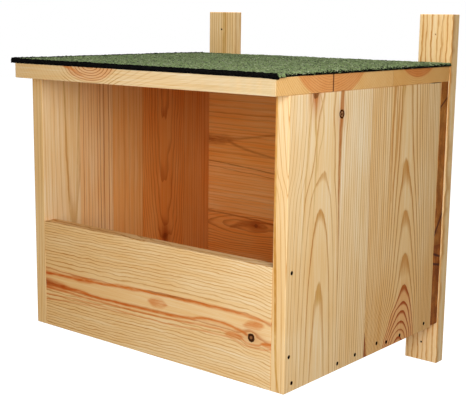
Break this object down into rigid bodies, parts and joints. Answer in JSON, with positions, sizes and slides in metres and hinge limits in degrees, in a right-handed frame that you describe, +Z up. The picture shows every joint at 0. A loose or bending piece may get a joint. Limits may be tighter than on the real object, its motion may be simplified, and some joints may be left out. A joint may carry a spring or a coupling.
{
  "type": "open-fronted nest box",
  "caption": "Open-fronted bird nest box of glued pine board with a low front board, a flat felt-covered roof and two vertical wall battens.",
  "frame": {"origin": "middle of the four pilot holes, on the back faces of the battens, which lie on the wall", "axes": "+Z up, +Y into the wall, -Y out of the open front, +X to the right as one faces the front"},
  "size_m": [0.4153, 0.38, 0.455],
  "materials": {
    "side_board": "planed and sanded, untreated pine",
    "back_board": "planed and sanded, untreated pine",
    "front_board": "planed and sanded, untreated pine",
    "floor_board": "planed and sanded, untreated pine",
    "roof_board": "planed and sanded, untreated pine",
    "batten": "planed and sanded, untreated pine",
    "roof_felt": "bitumen felt with green mineral granules and a black cut edge",
    "nail_steel": "dark bare wire nail",
    "screw_steel": "zinc plated"
  },
  "bodies": {
    "root": {"left_side": "side_board", "right_side": "side_board", "back_panel": "back_board", "front_board": "front_board", "floor_board": "floor_board", "roof_board": "roof_board", "roof_felt": "roof_felt", "left_batten": "batten", "right_batten": "batten", "left_floor_nails": "nail_steel", "left_front_nails": "nail_steel", "right_floor_nails": "nail_steel", "right_front_nails": "nail_steel", "left_roof_nails": "nail_steel", "right_roof_nails": "nail_steel", "left_back_nails": "nail_steel", "right_back_nails": "nail_steel", "rear_roof_nails": "nail_steel", "rear_floor_nails": "nail_steel", "left_batten_screws": "screw_steel", "right_batten_screws": "screw_steel"}
  },
  "joints": []
}
